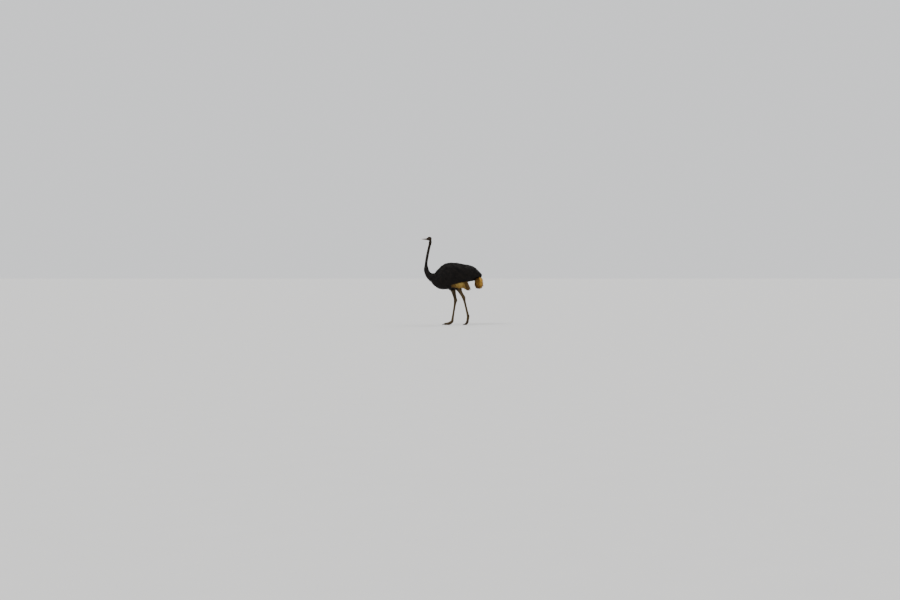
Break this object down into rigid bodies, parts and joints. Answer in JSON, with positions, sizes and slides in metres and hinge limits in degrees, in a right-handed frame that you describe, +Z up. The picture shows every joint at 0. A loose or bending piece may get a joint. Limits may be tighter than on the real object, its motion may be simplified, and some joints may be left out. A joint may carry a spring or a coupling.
{
  "type": "ostrich",
  "caption": "Life-size still model of an adult male ostrich in mid stride, black-plumed with pale wing and tail plumes, a long upright neck and bare legs.",
  "frame": {"origin": "On the floor, under the middle of the whole bird's box.", "axes": "+Z up, the bird faces -Y, and its left side is +X."},
  "size_m": [0.5646, 1.3882, 1.987],
  "materials": {
    "black_plumage": "soft black feathers with a faint brown cast",
    "neck_down": "short dark brown hair-like down",
    "face_skin": "brown skin under sparse bristly down",
    "bill_horn": "satin grey-brown horn",
    "eye": "wet gloss, dark brown",
    "wing_plumes": "loose cream plumes stained golden brown",
    "tail_plumes": "loose golden brown plumes, darker below",
    "leg_skin": "bare olive-brown skin and scutes",
    "claw_horn": "dark worn horn"
  },
  "bodies": {
    "root": {"trunk": "black_plumage", "wing_left": "black_plumage", "wing_right": "black_plumage", "wing_plumes_left": "wing_plumes", "wing_plumes_right": "wing_plumes", "tail": "tail_plumes", "neck_lower": "black_plumage", "neck_middle": "neck_down", "neck_upper": "neck_down", "head": "face_skin", "bill_upper": "bill_horn", "bill_lower": "bill_horn", "eye_left": "eye", "eye_right": "eye", "thigh_left": "leg_skin", "thigh_right": "leg_skin", "shank_left": "leg_skin", "shank_right": "leg_skin", "toe_large_left": "leg_skin", "toe_large_right": "leg_skin", "toe_small_left": "leg_skin", "toe_small_right": "leg_skin", "claw_large_left": "claw_horn", "claw_large_right": "claw_horn", "claw_small_left": "claw_horn", "claw_small_right": "claw_horn"}
  },
  "joints": []
}
